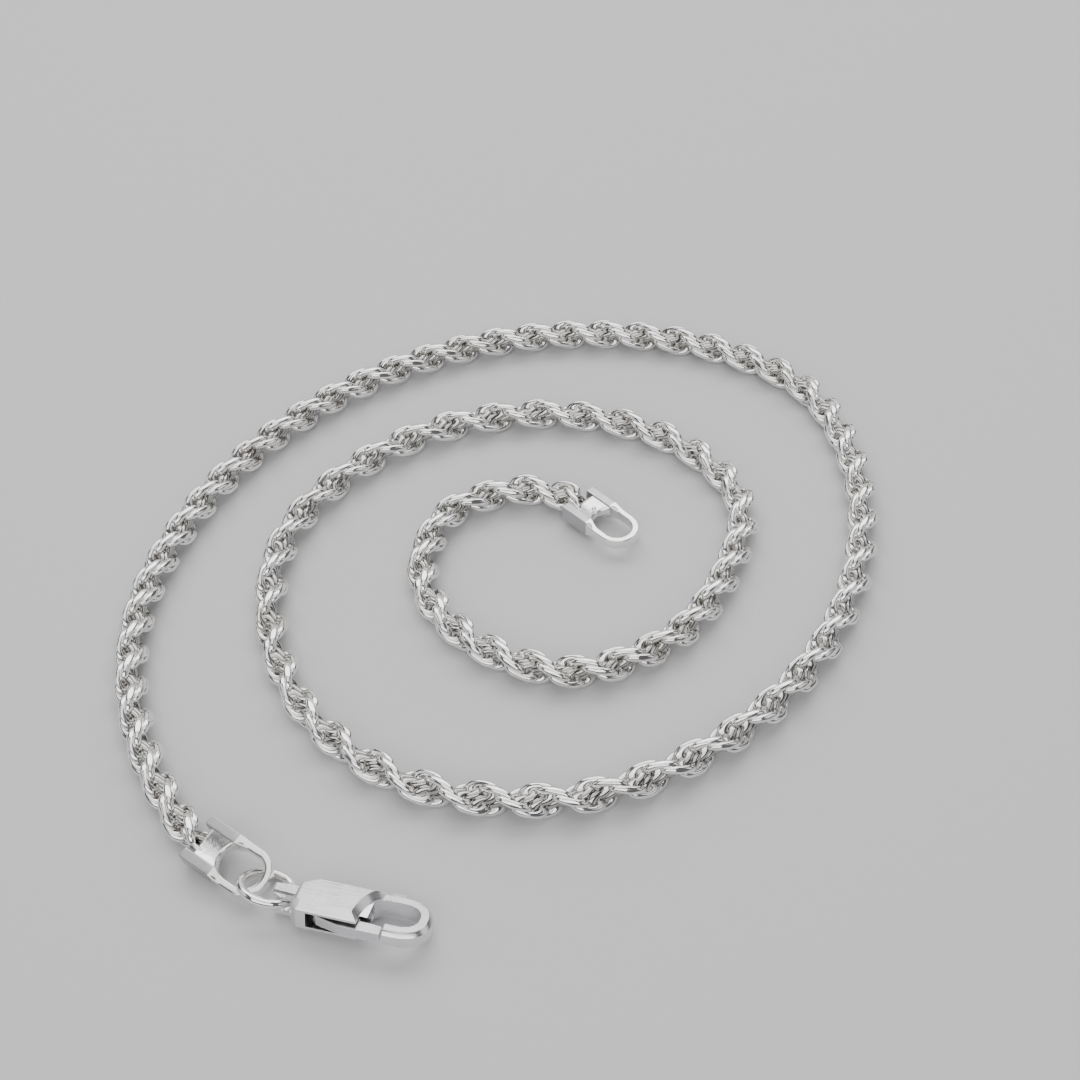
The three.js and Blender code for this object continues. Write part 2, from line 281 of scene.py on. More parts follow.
def bake(obj):
    """Applies an object's modifiers."""
    bpy.context.view_layer.update()
    graph = bpy.context.evaluated_depsgraph_get()
    mesh = bpy.data.meshes.new_from_object(obj.evaluated_get(graph))
    old = obj.data
    obj.modifiers.clear()
    obj.data = mesh
    bpy.data.meshes.remove(old)


def combine(obj, other, operation):
    """Joins another solid to an object, or cuts it out, and removes the other."""
    cut = obj.modifiers.new("combine", "BOOLEAN")
    cut.operation = operation
    cut.solver = "EXACT"
    cut.object = other
    bake(obj)
    mesh = other.data
    bpy.data.objects.remove(other)
    bpy.data.meshes.remove(mesh)


def round_edges(obj, width, segments=3, angle=25):
    """Small polished rounds along the edges, with flat faces kept flat."""
    for polygon in obj.data.polygons:
        polygon.use_smooth = True
    bevel = obj.modifiers.new("rounds", "BEVEL")
    bevel.width = width * MM
    bevel.segments = segments
    bevel.limit_method = "ANGLE"
    bevel.angle_limit = math.radians(angle)
    bevel.use_clamp_overlap = True
    flats = obj.modifiers.new("flats", "WEIGHTED_NORMAL")
    flats.weight = 100
    bake(obj)


def lay(obj, matrix):
    """Moves a piece's mesh from its own millimetre frame to where it lies."""
    move = matrix.copy()
    move.translation = matrix.translation * MM
    obj.data.transform(move)
    return obj


# ---- the route ----------------------------------------------------------------------
def centripetal_route(points, steps=40):
    """Fine points along the centripetal Catmull-Rom curve through the given points."""
    ctrl = [np.array(p, float) for p in points]
    first = 2 * ctrl[0] - ctrl[1]
    last = 2 * ctrl[-1] - ctrl[-2]
    ctrl = [first] + ctrl + [last]
    fine = []
    for p0, p1, p2, p3 in zip(ctrl, ctrl[1:], ctrl[2:], ctrl[3:]):
        d0 = np.linalg.norm(p1 - p0) ** 0.5
        d1 = np.linalg.norm(p2 - p1) ** 0.5
        d2 = np.linalg.norm(p3 - p2) ** 0.5
        m1 = (p1 - p0) / d0 - (p2 - p0) / (d0 + d1) + (p2 - p1) / d1
        m2 = (p2 - p1) / d1 - (p3 - p1) / (d1 + d2) + (p3 - p2) / d2
        m1, m2 = m1 * d1, m2 * d1
        for t in np.linspace(0, 1, steps, endpoint=False):
            t2, t3 = t * t, t * t * t
            fine.append(
                (2 * t3 - 3 * t2 + 1) * p1 + (t3 - 2 * t2 + t) * m1
                + (3 * t2 - 2 * t3) * p2 + (t3 - t2) * m2
            )
    fine.append(ctrl[-2])
    return np.array(fine) + np.array(COIL_MIDDLE)


ROUTE = centripetal_route(ROUTE_POINTS)
ALONG = np.concatenate([[0], np.cumsum(np.linalg.norm(np.diff(ROUTE, axis=0), axis=1))])
RUN_LENGTH = ALONG[-1] / RUN_COUNT


def route_point(run):
    """The rope's middle at a distance counted in runs from its outer end."""
    s = run * RUN_LENGTH
    x = np.interp(s, ALONG, ROUTE[:, 0])
    y = np.interp(s, ALONG, ROUTE[:, 1])
    return np.array([x, y, ROPE_RADIUS])


def lay_table(steps=860):
    """Turns of the lay passed against place along the rope, both counted in runs."""
    run = np.linspace(0, RUN_COUNT, steps)
    slack = 1 / (1 + np.exp((LOOSE_FROM - run) / LOOSE_FADE))
    slack *= 1 / (1 + np.exp((run - LOOSE_TO) / LOOSE_FADE))
    passed = np.cumsum(1 / (1 + LOOSE_GAIN * slack))
    passed -= passed[0]
    return passed / passed[-1] * RUN_COUNT, run


LAY_TURNS, LAY_RUN = lay_table()


def lay_place(turns):
    """Distance in runs after that many turns: the lay is longer along the necklace's middle."""
    return float(np.interp(turns, LAY_TURNS, LAY_RUN))


def route_frame(run):
    """Origin and right-handed axes (across, up, along) of the rope at a distance in runs."""
    step = 0.02
    along = route_point(min(run + step, RUN_COUNT)) - route_point(max(run - step, 0))
    along /= np.linalg.norm(along)
    across = np.array([-along[1], along[0], 0])
    return route_point(run), np.column_stack([across, (0, 0, 1), along])


# ---- materials ----------------------------------------------------------------------
# Texture scales in cycles per metre: clouded gloss, dulled patches, pits and hairlines.
CLOUD_SCALE = 420
PATCH_SCALE = 170
PIT_SCALE = 2600
HAIR_SCALE = (260, 7000, 7000)
# The part of each texture's range over which the clouds and the patches come in.
CLOUD_RANGE = (0.3, 0.7)
PATCH_RANGE = (0.48, 0.72)
# Strength and depth in millimetres of the fine relief.
HAIR_STRENGTH = 0.12
HAIR_DEPTH = 0.02
PIT_STRENGTH = 0.06
PIT_DEPTH = 0.03
# What the dulled patches keep of each colour, rubbed metal's colour, and painted recess shade.
DULLED = (0.86, 0.845, 0.82)
WORN = (0.97, 0.965, 0.955)
RECESS_SHADE_COLOUR = (0.30, 0.29, 0.272)
# Rubbed edges: width in millimetres, roughness, and the cosines of the turn of the surface
# between which they come in.
EDGE_WIDTH = 0.20
EDGE_ROUGHNESS = 0.09
EDGE_TURN = (0.99, 0.90)
# Painted recess shade: from where to where it clears, as a share of the rope's radius.
RECESS_SHADE_RANGE = (0.28, 0.72)


def shader(name, metallic, roughness, colour):
    """A plain material, with the parts that its texture is built from."""
    material = bpy.data.materials.new(name)
    material.use_nodes = True
    nodes = material.node_tree.nodes
    surface = nodes["Principled BSDF"]
    surface.inputs["Metallic"].default_value = metallic
    surface.inputs["Roughness"].default_value = roughness
    surface.inputs["Base Color"].default_value = (*colour, 1)
    return material, nodes, material.node_tree.links, surface


def noise(nodes, links, where, scale, detail):
    """A noise texture laid over the given coordinates."""
    texture = nodes.new("ShaderNodeTexNoise")
    texture.inputs["Scale"].default_value = scale
    texture.inputs["Detail"].default_value = detail
    links.new(where, texture.inputs["Vector"])
    return texture


def map_range(nodes, links, source, low, high, to_low=0.0, to_high=1.0):
    """The output of a node that maps the source's range to another."""
    change = nodes.new("ShaderNodeMapRange")
    change.inputs["From Min"].default_value = low
    change.inputs["From Max"].default_value = high
    change.inputs["To Min"].default_value = to_low
    change.inputs["To Max"].default_value = to_high
    links.new(source, change.inputs["Value"])
    return change.outputs["Result"]


def bump(nodes, links, texture, strength, depth, below=None):
    """Relief of a depth in millimetres from a texture, on top of any relief below it."""
    relief = nodes.new("ShaderNodeBump")
    relief.inputs["Strength"].default_value = strength
    relief.inputs["Distance"].default_value = depth * MM
    links.new(texture.outputs["Fac"], relief.inputs["Height"])
    if below is not None:
        links.new(below, relief.inputs["Normal"])
    return relief.outputs["Normal"]


def along_heading(nodes, links, where, heading):
    """Coordinates turned to a heading in plan and squeezed into long hairlines along it."""
    align = nodes.new("ShaderNodeMapping")
    align.vector_type = "TEXTURE"
    align.inputs["Rotation"].default_value = (0, 0, math.radians(heading))
    links.new(where, align.inputs["Vector"])
    stretch = nodes.new("ShaderNodeMapping")
    stretch.inputs["Scale"].default_value = HAIR_SCALE
    links.new(align.outputs["Vector"], stretch.inputs["Vector"])
    return stretch.outputs["Vector"]


def silver(name, roughness, tint, heading=0.0, brushing=0.0, pitting=0.0, fog=0.05):
    """Silver with handling marks: soft cloudy gloss, hairline scratches and fine pits."""
    material, nodes, links, surface = shader(name, 1.0, roughness, tint)
    where = nodes.new("ShaderNodeTexCoord").outputs["Object"]

    cloud = noise(nodes, links, where, CLOUD_SCALE, detail=5)
    cloud.inputs["Roughness"].default_value = 0.6
    least = max(0.02, roughness - fog)
    most = roughness + fog
    gloss = map_range(nodes, links, cloud.outputs["Fac"], *CLOUD_RANGE, least, most)
    links.new(gloss, surface.inputs["Roughness"])

    patch = noise(nodes, links, where, PATCH_SCALE, detail=3)
    dull = [part * kept for part, kept in zip(tint, DULLED)]
    shade = nodes.new("ShaderNodeMixRGB")
    shade.inputs["Color1"].default_value = (*tint, 1)
    shade.inputs["Color2"].default_value = (*dull, 1)
    patchy = map_range(nodes, links, patch.outputs["Fac"], *PATCH_RANGE)
    links.new(patchy, shade.inputs["Fac"])
    links.new(shade.outputs["Color"], surface.inputs["Base Color"])

    stretched = along_heading(nodes, links, where, heading)
    hairs = noise(nodes, links, stretched, scale=1, detail=4)
    pits = noise(nodes, links, where, PIT_SCALE, detail=6)
    scratched = bump(nodes, links, hairs, HAIR_STRENGTH + brushing, HAIR_DEPTH)
    pitted = bump(nodes, links, pits, PIT_STRENGTH + pitting, PIT_DEPTH, scratched)
    links.new(pitted, surface.inputs["Normal"])
    return material


def rub_edges(material):
    """Polishes and brightens the metal along its outer edges, where handling wears it."""
    nodes, links = material.node_tree.nodes, material.node_tree.links
    surface = nodes["Principled BSDF"]
    rounded = nodes.new("ShaderNodeBevel")
    rounded.samples = 4
    rounded.inputs["Radius"].default_value = EDGE_WIDTH * MM
    flat = nodes.new("ShaderNodeNewGeometry")
    facing = nodes.new("ShaderNodeVectorMath")
    facing.operation = "DOT_PRODUCT"
    links.new(rounded.outputs["Normal"], facing.inputs[0])
    links.new(flat.outputs["Normal"], facing.inputs[1])
    edge = map_range(nodes, links, facing.outputs["Value"], *EDGE_TURN)
    gloss = nodes.new("ShaderNodeMix")
    gloss.inputs["B"].default_value = EDGE_ROUGHNESS
    links.new(edge, gloss.inputs["Factor"])
    links.new(surface.inputs["Roughness"].links[0].from_socket, gloss.inputs["A"])
    links.new(gloss.outputs["Result"], surface.inputs["Roughness"])
    bright = nodes.new("ShaderNodeMixRGB")
    bright.inputs["Color2"].default_value = (*WORN, 1)
    links.new(edge, bright.inputs["Fac"])
    links.new(surface.inputs["Base Color"].links[0].from_socket, bright.inputs["Color1"])
    links.new(bright.outputs["Color"], surface.inputs["Base Color"])


def paint_recess_shade(material):
    """Paints shade on the wires where they dive into the rope, darker the deeper they lie."""
    nodes, links = material.node_tree.nodes, material.node_tree.links
    surface = nodes["Principled BSDF"]
    unshaded_colour = surface.inputs["Base Color"].links[0].from_socket
    reach = nodes.new("ShaderNodeAttribute")
    reach.attribute_name = "reach"
    mix = nodes.new("ShaderNodeMixRGB")
    mix.inputs["Color1"].default_value = (*RECESS_SHADE_COLOUR, 1)
    clear = map_range(nodes, links, reach.outputs["Fac"], *RECESS_SHADE_RANGE)
    links.new(clear, mix.inputs["Fac"])
    links.new(unshaded_colour, mix.inputs["Color2"])
    links.new(mix.outputs["Color"], surface.inputs["Base Color"])


BRIGHT = (0.95, 0.94, 0.92)
WHITE = (0.93, 0.925, 0.91)
PALE = (0.80, 0.80, 0.81)
GREY = (0.70, 0.70, 0.71)
SATIN = (0.50, 0.50, 0.51)
ROPE_SILVER = silver("rope_silver", 0.13, BRIGHT)
# Painted shade on the rope's wires where they lie deep inside it.
paint_recess_shade(ROPE_SILVER)
RING_SILVER = silver("ring_silver", 0.10, BRIGHT, heading=-34)
POLISHED_CAP = silver("polished_cap", 0.10, BRIGHT, heading=-40, pitting=0.05)
SATIN_CAP = silver("satin_cap", 0.34, SATIN, heading=-40, brushing=0.5, pitting=0.12, fog=0.08)
SOLDER = silver("solder", 0.22, WHITE, pitting=0.9, fog=0.1)
CLASP_SILVER = silver("clasp_silver", 0.22, PALE, heading=-14, brushing=0.2, fog=0.09)
LEVER_SILVER = silver("lever_silver", 0.28, GREY, heading=-14, brushing=0.35, pitting=0.1, fog=0.08)
for handled in (POLISHED_CAP, SATIN_CAP, CLASP_SILVER, LEVER_SILVER):
    rub_edges(handled)


# ---- rope ---------------------------------------------------------------------------
RING_AROUND = 36
RING_SECTION = 14
CAP_RING_COUNT = 3
CAP_RING_START = 0.3
CAP_RING_SQUEEZE = 0.74
CAP_RING_TAPER = 0.04
INNER_RINGS_SIDE = -0.4


def ring_points():
    """One oval wire ring of the rope about the rope's axis (z), before it is turned in."""
    normal = Vector(RING_NORMAL).normalized()
    side = normal.cross(Vector((0, 0, 1))).normalized()
    front = normal.cross(side)
    points = []
    for i in range(RING_AROUND):
        angle = 2 * math.pi * i / RING_AROUND
        outward = side * math.cos(angle) + front * math.sin(angle) * RING_STRETCH
        for j in range(RING_SECTION):
            around = 2 * math.pi * j / RING_SECTION
            reach = RING_BEND + WIRE / 2 * math.cos(around)
            at = outward * reach + normal * (WIRE / 2 * math.sin(around))
            points.append((at.x + RING_OFFSET[0], at.y + RING_OFFSET[1], at.z))
    return np.array(points)


RING_SHAPE = ring_points()


def laid_ring(index, squeeze):
    """The ring turned to its place in the lay, its outside pressed flush with the rope's."""
    angle = index * TURN_PER_RING
    c, s = math.cos(angle), math.sin(angle)
    points = RING_SHAPE @ np.array([[c, s, 0], [-s, c, 0], [0, 0, 1]])
    radius = np.hypot(points[:, 0], points[:, 1])
    points[:, :2] *= np.minimum(1, ROPE_RADIUS / radius)[:, None] * squeeze
    return points


def rope_piece(name, rings):
    """A stretch of rope: rings given as (index, origin, axes, squeeze)."""
    points = []
    faces = []
    reach = []
    base_faces = tube_grid(RING_AROUND, RING_SECTION)
    for index, origin, axes, squeeze in rings:
        offset = len(points) * RING_AROUND * RING_SECTION
        ring = laid_ring(index, squeeze)
        reach.append(np.hypot(ring[:, 0], ring[:, 1]) / ROPE_RADIUS)
        points.append(ring @ axes.T + origin)
        faces += [tuple(i + offset for i in face) for face in base_faces]
    mesh = mesh_from(name, np.concatenate(points), faces)
    mesh.shade_smooth()
    mesh.attributes.new("reach", "FLOAT", "POINT").data.foreach_set("value", np.concatenate(reach))
    return new_object(name, mesh, ROPE_SILVER)


def cap_rings(cap, count, first, step, side):
    """The rope's last rings, drawn in between a cap's legs and set off to a side."""
    turn = np.array(cap.to_3x3())
    axes = np.column_stack([step * turn[:, 1], turn[:, 2], step * turn[:, 0]])
    rings = []
    for i in range(count):
        at = cap @ Vector((CAP_RING_START + i * RUN_LENGTH / RINGS_PER_RUN, side, 0))
        squeeze = CAP_RING_SQUEEZE - CAP_RING_TAPER * i
        rings.append((first + i * step, np.array(at), axes, squeeze))
    return rings


def ring_groups():
    """The rope's rings, grouped by the joint between two bodies that they lie nearest to."""
    ring_count = RUN_COUNT * RINGS_PER_RUN
    groups = [[] for _ in range(RUN_COUNT + 1)]
    for index in range(ring_count):
        run = lay_place((index + 0.5) / RINGS_PER_RUN)
        origin, axes = route_frame(run)
        groups[round(run)].append((index, origin, axes, 1.0))
    groups[0] += cap_rings(OUTER_CAP, CAP_RING_COUNT, -1, -1, 0.0)
    groups[-1] += cap_rings(INNER_CAP, CAP_RING_COUNT, ring_count, 1, INNER_RINGS_SIDE)
    return groups


def build_rope():
    """The rope in pieces, each of the rings that lie nearest one joint."""
    for k, rings in enumerate(ring_groups()):
        piece = rope_piece(f"rope_{k:02d}", rings)
        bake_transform(piece)
        if k > 0:
            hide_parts(f"chain_run_{k:02d}")


# ---- end caps -----------------------------------------------------------------------
# Stations on the straight leg, from its mouth and before its shoulder.
LEG_STATION = 1.6
SHOULDER_LEAD = 0.6
# The thinned share from which the strap is polished.
POLISHED_FROM = 0.15
# The solder: its dents, its shape across and along, and how it meets the legs and the rope.
DENT_SINK = 0.4
DENT_SPREAD = 0.02
WEB_HOLLOW = 0.75
WEB_MIDDLE = 0.52
WEB_DISH = 0.26
WEB_LIP = 0.3
WEB_OVERLAP = 0.08
WEB_SETBACK = 0.55
WEB_RISE = 6
WEB_FALL = 9


def strap_stations(shoulder_steps=8, bend_steps=28):
    """Stations along the bent strap, each with its thinned share.

    On the legs a station is a distance along and a side, and its share runs from 0 (full
    thickness) to 1. On the bend it is a direction from the loop's middle, with no share.
    """
    shoulder = LOOP_CENTRE - SHOULDER_START
    legs = [(x, 0.0) for x in (CAP_MOUTH, CAP_MOUTH + LEG_STATION, shoulder - SHOULDER_LEAD)]
    for i in range(shoulder_steps + 1):
        share = i / shoulder_steps
        x = shoulder + share * (SHOULDER_START - SHOULDER_END)
        legs.append((x, share * share * (3 - 2 * share)))
    stations = [(Vector((x, -1)), thin) for x, thin in legs]
    for i in range(1, bend_steps):
        angle = -math.pi / 2 + math.pi * i / bend_steps
        stations.append((Vector((math.cos(angle), math.sin(angle))), None))
    stations += [(Vector((x, 1)), thin) for x, thin in reversed(legs)]
    return stations


def strap_section(at, thin):
    """The four corners of the strap at a station, outer side first, and its thinned share."""
    share = 1.0 if thin is None else thin
    thick = LEG_THICKNESS + share * (LOOP_THICKNESS - LEG_THICKNESS)
    half = (LEG_HEIGHT + share * (LOOP_HEIGHT - LEG_HEIGHT)) / 2
    if thin is None:
        outer = Vector((LOOP_CENTRE, 0)) + at * CAP_HALF
        inner = Vector((LOOP_CENTRE, 0)) + at * (CAP_HALF - thick)
    else:
        outer = Vector((at.x, at.y * CAP_HALF))
        inner = Vector((at.x, at.y * (CAP_HALF - thick)))
    return [(*outer, -half), (*outer, half), (*inner, half), (*inner, -half)], share


def cap_strap(name):
    """A strap bent into a U: satin on its thick legs, polished round its loop."""
    points = []
    slots = []
    for at, thin in strap_stations():
        corners, share = strap_section(at, thin)
        points += corners
        slots.append(1 if share > POLISHED_FROM else 0)
    count = len(slots)
    faces = [(0, 1, 2, 3), tuple(4 * (count - 1) + i for i in (3, 2, 1, 0))]
    material_of = [0, 0]
    for i in range(count - 1):
        for j in range(4):
            k = (j + 1) % 4
            faces.append((4 * i + j, 4 * i + 4 + j, 4 * i + 4 + k, 4 * i + k))
            material_of.append(max(slots[i], slots[i + 1]) if j in (1, 2) else slots[i])
    mesh = mesh_from(name, points, faces)
    strap = new_object(name, mesh, SATIN_CAP)
    mesh.materials.append(POLISHED_CAP)
    for polygon, slot in zip(mesh.polygons, material_of):
        polygon.material_index = slot
    turn_outwards(mesh)
    round_edges(strap, width=0.14, segments=4, angle=30)
    return strap


def dent_depth(x, y, dents):
    """How far small round dents in the solder sink below its face."""
    depth = 0
    for dx, dy in dents:
        depth += DENT_SINK * math.exp(-((x - dx) ** 2 + (y - dy) ** 2) / DENT_SPREAD)
    return depth


def cap_web(name, dents):
    """Solder between the legs: a low dished pad with a hollow edge facing the loop."""
    half = CAP_HALF - LEG_THICKNESS + WEB_OVERLAP
    start = CAP_MOUTH + WEB_SETBACK
    columns, rows = 40, 28
    points = []
    for side in (1, -1):
        for i in range(columns + 1):
            for j in range(rows + 1):
                across = 2 * j / rows - 1
                edge = CAP_MOUTH + WEB_LENGTH - WEB_HOLLOW * (1 - across * across)
                x = start + (edge - start) * i / columns
                fall = min(1, (1 - i / columns) * WEB_FALL, i / columns * WEB_RISE)
                y = across * half
                rise = WEB_MIDDLE + WEB_DISH * across ** 2 - dent_depth(x, y, dents)
                points.append((x, y, side * rise * (WEB_LIP + (1 - WEB_LIP) * fall ** 0.5)))
    size = (columns + 1) * (rows + 1)
    faces = []
    for i in range(columns):
        for j in range(rows):
            a = i * (rows + 1) + j
            quad = (a, a + rows + 1, a + rows + 2, a + 1)
            faces.append(quad)
            faces.append(tuple(size + q for q in reversed(quad)))
    rim = [i * (rows + 1) for i in range(columns + 1)]
    rim += [columns * (rows + 1) + j for j in range(1, rows + 1)]
    rim += [i * (rows + 1) + rows for i in range(columns - 1, -1, -1)]
    rim += list(range(rows - 1, 0, -1))
    for a, b in zip(rim, rim[1:] + rim[:1]):
        faces.append((b, a, size + a, size + b))
    mesh = mesh_from(name, points, faces)
    turn_outwards(mesh)
    mesh.shade_smooth()
    return new_object(name, mesh, SOLDER)


def build_cap(node, body, matrix, dents=()):
    """An end cap: the bent strap, and the solder between its legs past the rope's end."""
    strap = lay(cap_strap(f"{node}_strap"), matrix)
    web = lay(cap_web(f"{node}_solder", dents), matrix)
    for piece in (strap, web):
        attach(piece, body)
    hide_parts(node)


# ---- jump ring ----------------------------------------------------------------------
SEAM_ANGLE = 2.4
SEAM_WIDTH = 0.05
SEAM_NECK = 0.05


def build_jump_ring():
    """A round wire ring with a faint neck where its soldered ends meet."""
    around, section = 96, 24
    points = []
    for i in range(around):
        angle = 2 * math.pi * i / around
        neck = 1 - SEAM_NECK * math.exp(-((angle - SEAM_ANGLE) / SEAM_WIDTH) ** 2)
        wire = JUMP_WIRE / 2 * neck
        for j in range(section):
            turn = 2 * math.pi * j / section
            radius = JUMP_RADIUS + wire * math.cos(turn)
            x, y = radius * math.cos(angle), radius * math.sin(angle)
            points.append((x, y, wire * math.sin(turn)))
    mesh = mesh_from("jump_ring_wire", points, tube_grid(around, section))
    mesh.shade_smooth()
    ring = lay(new_object("jump_ring_wire", mesh, RING_SILVER), JUMP_RING)
    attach(ring, "ring")
    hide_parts("jump_ring")


# ---- clasp --------------------------------------------------------------------------
# Shape of the hook's outline, in shares of its half width.
HOOK_ROOT = 0.82
HOOK_TURN = 1.25
HOOK_PULL = 0.4
HOOK_SPREAD = 0.6


def bezier(p0, p1, p2, p3, steps):
    """Points along a cubic curve, without its first point."""
    points = []
    for i in range(1, steps + 1):
        t = i / steps
        weights = ((1 - t) ** 3, 3 * t * (1 - t) ** 2, 3 * t * t * (1 - t), t ** 3)
        pairs = list(zip(weights, (p0, p1, p2, p3)))
        points.append(tuple(sum(w * p[k] for w, p in pairs) for k in (0, 1)))
    return points


def hook_outline(half, start, end, steps=14):
    """Outline of the hook or of its opening, rounded at the far end."""
    bend = end - half * HOOK_TURN
    middle = (start + bend) / 2
    pull = end - half * HOOK_PULL
    spread = half * HOOK_SPREAD
    near, far = (start, -half * HOOK_ROOT), (start, half * HOOK_ROOT)
    shape = [near]
    shape += bezier(near, (middle, -half), (middle, -half), (bend, -half), steps)
    shape += bezier((bend, -half), (pull, -half), (end, -spread), (end, 0), steps)
    shape += bezier((end, 0), (end, spread), (pull, half), (bend, half), steps)
    shape += bezier((bend, half), (middle, half), (middle, half), far, steps)
    return shape


def box(name, x0, x1, y0, y1, z0, z1):
    """A block between two corners."""
    return prism(name, [(x0, y0), (x1, y0), (x1, y1), (x0, y1)], z0, z1)


def clasp_shell():
    """The chamfered body, its hook end scooped towards the hook's far arm."""
    half = CLASP_HALF_WIDTH
    near_end = SHELL_NEAR_END + CLASP_BEVEL
    far_end = SHELL_FAR_END + CLASP_BEVEL
    scoop = bezier((near_end, -half), (near_end, -0.6), (near_end + 0.3, 0.7),
                   (far_end + 0.5, 1.25), steps=6)
    outline = [(NOSE_START, -NOSE_NEAR), (NEAR_SHOULDER, -half), (near_end, -half)] + scoop
    outline += [(far_end + 0.9, half), (FAR_SHOULDER, half), (NOSE_START, NOSE_FAR)]
    return prism("clasp_body_shell", outline, -CLASP_HEIGHT / 2, CLASP_HEIGHT / 2, CLASP_BEVEL)


def build_clasp_body():
    """The body with its hook and tail; the throat, the slot and the tail's hole are cut through."""
    body = clasp_shell()
    root = TAIL_STEP + TAIL_BURY
    tail_outline = [
        (TAIL_END, -TAIL_HALF_WIDTH), (root, -NECK_HALF_WIDTH),
        (root, NECK_HALF_WIDTH), (TAIL_END, TAIL_HALF_WIDTH),
    ]
    tail = prism("tail", tail_outline, -CLASP_HEIGHT / 2, TAIL_TOP, TAIL_CHAMFER)
    hook = prism("hook", hook_outline(HOOK_HALF_WIDTH, HOOK_START, HOOK_END),
                 -HOOK_HEIGHT / 2, HOOK_HEIGHT / 2, HOOK_CHAMFER)
    tab = box("tab", *TAB_ALONG, HOOK_HALF_WIDTH - TAB_BURY, HOOK_HALF_WIDTH + TAB_PROUD,
              *TAB_HEIGHT)
    opening_half = HOOK_HALF_WIDTH - HOOK_BAND
    opening = prism("opening", hook_outline(opening_half, THROAT_START, HOOK_END - HOOK_BAND),
                    -HOOK_HEIGHT, HOOK_HEIGHT)
    gate = box("gate", HOOK_START - 1, LEVER_TIP + FIT_GAP,
               -2 * HOOK_HALF_WIDTH, -0.8 * opening_half, -HOOK_HEIGHT, HOOK_HEIGHT)
    combine(hook, opening, "DIFFERENCE")
    combine(hook, gate, "DIFFERENCE")
    combine(hook, tab, "UNION")
    combine(body, hook, "UNION")
    slot_half = LEVER_HEIGHT / 2 + FIT_GAP
    slot = box("slot", PIN[0] - LEVER_EYE - FIT_GAP, THROAT_START + 1, -5, SLOT_FLOOR,
               -slot_half, slot_half)
    combine(body, slot, "DIFFERENCE")
    combine(body, tail, "UNION")
    eye_z = (TAIL_TOP - CLASP_HEIGHT / 2) / 2
    near, far = (TAIL_HOLE_X, -4, eye_z), (TAIL_HOLE_X, 4, eye_z)
    eye = cylinder("eye", TAIL_HOLE / 2, near, far, sides=40)
    combine(body, eye, "DIFFERENCE")
    round_edges(body, width=0.10, segments=3, angle=22)
    body.data.materials.append(CLASP_SILVER)
    lay(body, CLASP)
    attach(body, "clasp")
    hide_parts("clasp_body")


def build_pin():
    """The lever's pin: a straight shank with its ends rounded into low domes."""
    half = CLASP_HEIGHT / 2 - PIN_SUNK
    profile = [(radius, -half + depth) for radius, depth in PIN_DOME]
    profile += [(radius, half - depth) for radius, depth in reversed(PIN_DOME)]
    sides = 32
    points = []
    for radius, z in profile:
        for i in range(sides):
            angle = 2 * math.pi * i / sides
            x, y = radius * math.cos(angle), radius * math.sin(angle)
            points.append((PIN[0] + x, PIN[1] + y, z))
    faces = []
    for level in range(len(profile) - 1):
        for i in range(sides):
            j = (i + 1) % sides
            base = level * sides
            faces.append((base + i, base + j, base + sides + j, base + sides + i))
    mesh = mesh_from("clasp_rivet", points, faces)
    weld(mesh)
    mesh.shade_smooth()
    pin = lay(new_object("clasp_rivet", mesh, LEVER_SILVER), CLASP)
    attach(pin, "clasp")
    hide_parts("clasp_pin")


def build_lever():
    """The gate bar that closes the hook, with the eye in which it turns on the pin."""
    outer = -HOOK_HALF_WIDTH
    inner = outer + LEVER_WIDTH
    knee = PIN[0] + LEVER_KNEE
    outline = [
        (PIN[0] - LEVER_HEEL, outer + LEVER_SLOPE), (knee, outer), (LEVER_TIP, outer),
        (LEVER_TIP, inner), (knee, inner + LEVER_TAPER), (PIN[0] + LEVER_ROOT, PIN[1] + LEVER_ROOT),
    ]
    half = LEVER_HEIGHT / 2
    lever = prism("clasp_gate_bar", outline, -half, half)
    eye = cylinder("lever_eye", LEVER_EYE, (*PIN, -half), (*PIN, half), sides=48)
    bore = cylinder("lever_bore", PIN_DIAMETER / 2 + PIN_PLAY, (*PIN, -2), (*PIN, 2), sides=32)
    combine(lever, eye, "UNION")
    combine(lever, bore, "DIFFERENCE")
    round_edges(lever, width=0.12, segments=3, angle=25)
    lever.data.materials.append(LEVER_SILVER)
    lay(lever, CLASP)
    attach(lever, "lever")
    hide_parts("clasp_lever")


def strip_outline(path, thickness):
    """Outline of a bent strip seen edge on, from its middle line."""
    one, other = [], []
    for i, point in enumerate(path):
        before, after = Vector(path[max(0, i - 1)]), Vector(path[min(len(path) - 1, i + 1)])
        run = (after - before).normalized()
        side = Vector((-run.y, run.x)) * thickness / 2
        one.append(tuple(Vector(point) - side))
        other.append(tuple(Vector(point) + side))
    return one + other[::-1]


def polygon_area(outline):
    """Area of an outline, positive when it runs anticlockwise."""
    pairs = zip(outline, outline[1:] + outline[:1])
    return sum(a[0] * b[1] - b[0] * a[1] for a, b in pairs) / 2


def build_spring():
    """A folded leaf from the slot's back wall to the gate bar."""
    wall = SLOT_FLOOR - SPRING_THICKNESS
    fold = PIN[0] + SPRING_FOLD
    foot = (PIN[0] + SPRING_FOOT, wall)
    tip = (PIN[0] + SPRING_TIP, LEVER_WIDTH - HOOK_HALF_WIDTH + SPRING_STAND_OFF)
    bend = bezier((fold, wall), (fold - 0.5, wall), (fold - 0.45, wall - 0.35),
                  (fold, wall - 0.42), steps=10)
    leaf = strip_outline([foot, (fold, wall)] + bend + [tip], SPRING_THICKNESS)
    if polygon_area(leaf) < 0:
        leaf.reverse()
    spring = prism("clasp_leaf_spring", leaf, -SPRING_HALF_HEIGHT, SPRING_HALF_HEIGHT)
    spring.data.materials.append(LEVER_SILVER)
    lay(spring, CLASP)
    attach(spring, "clasp")
    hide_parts("clasp_spring")
    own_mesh(spring)


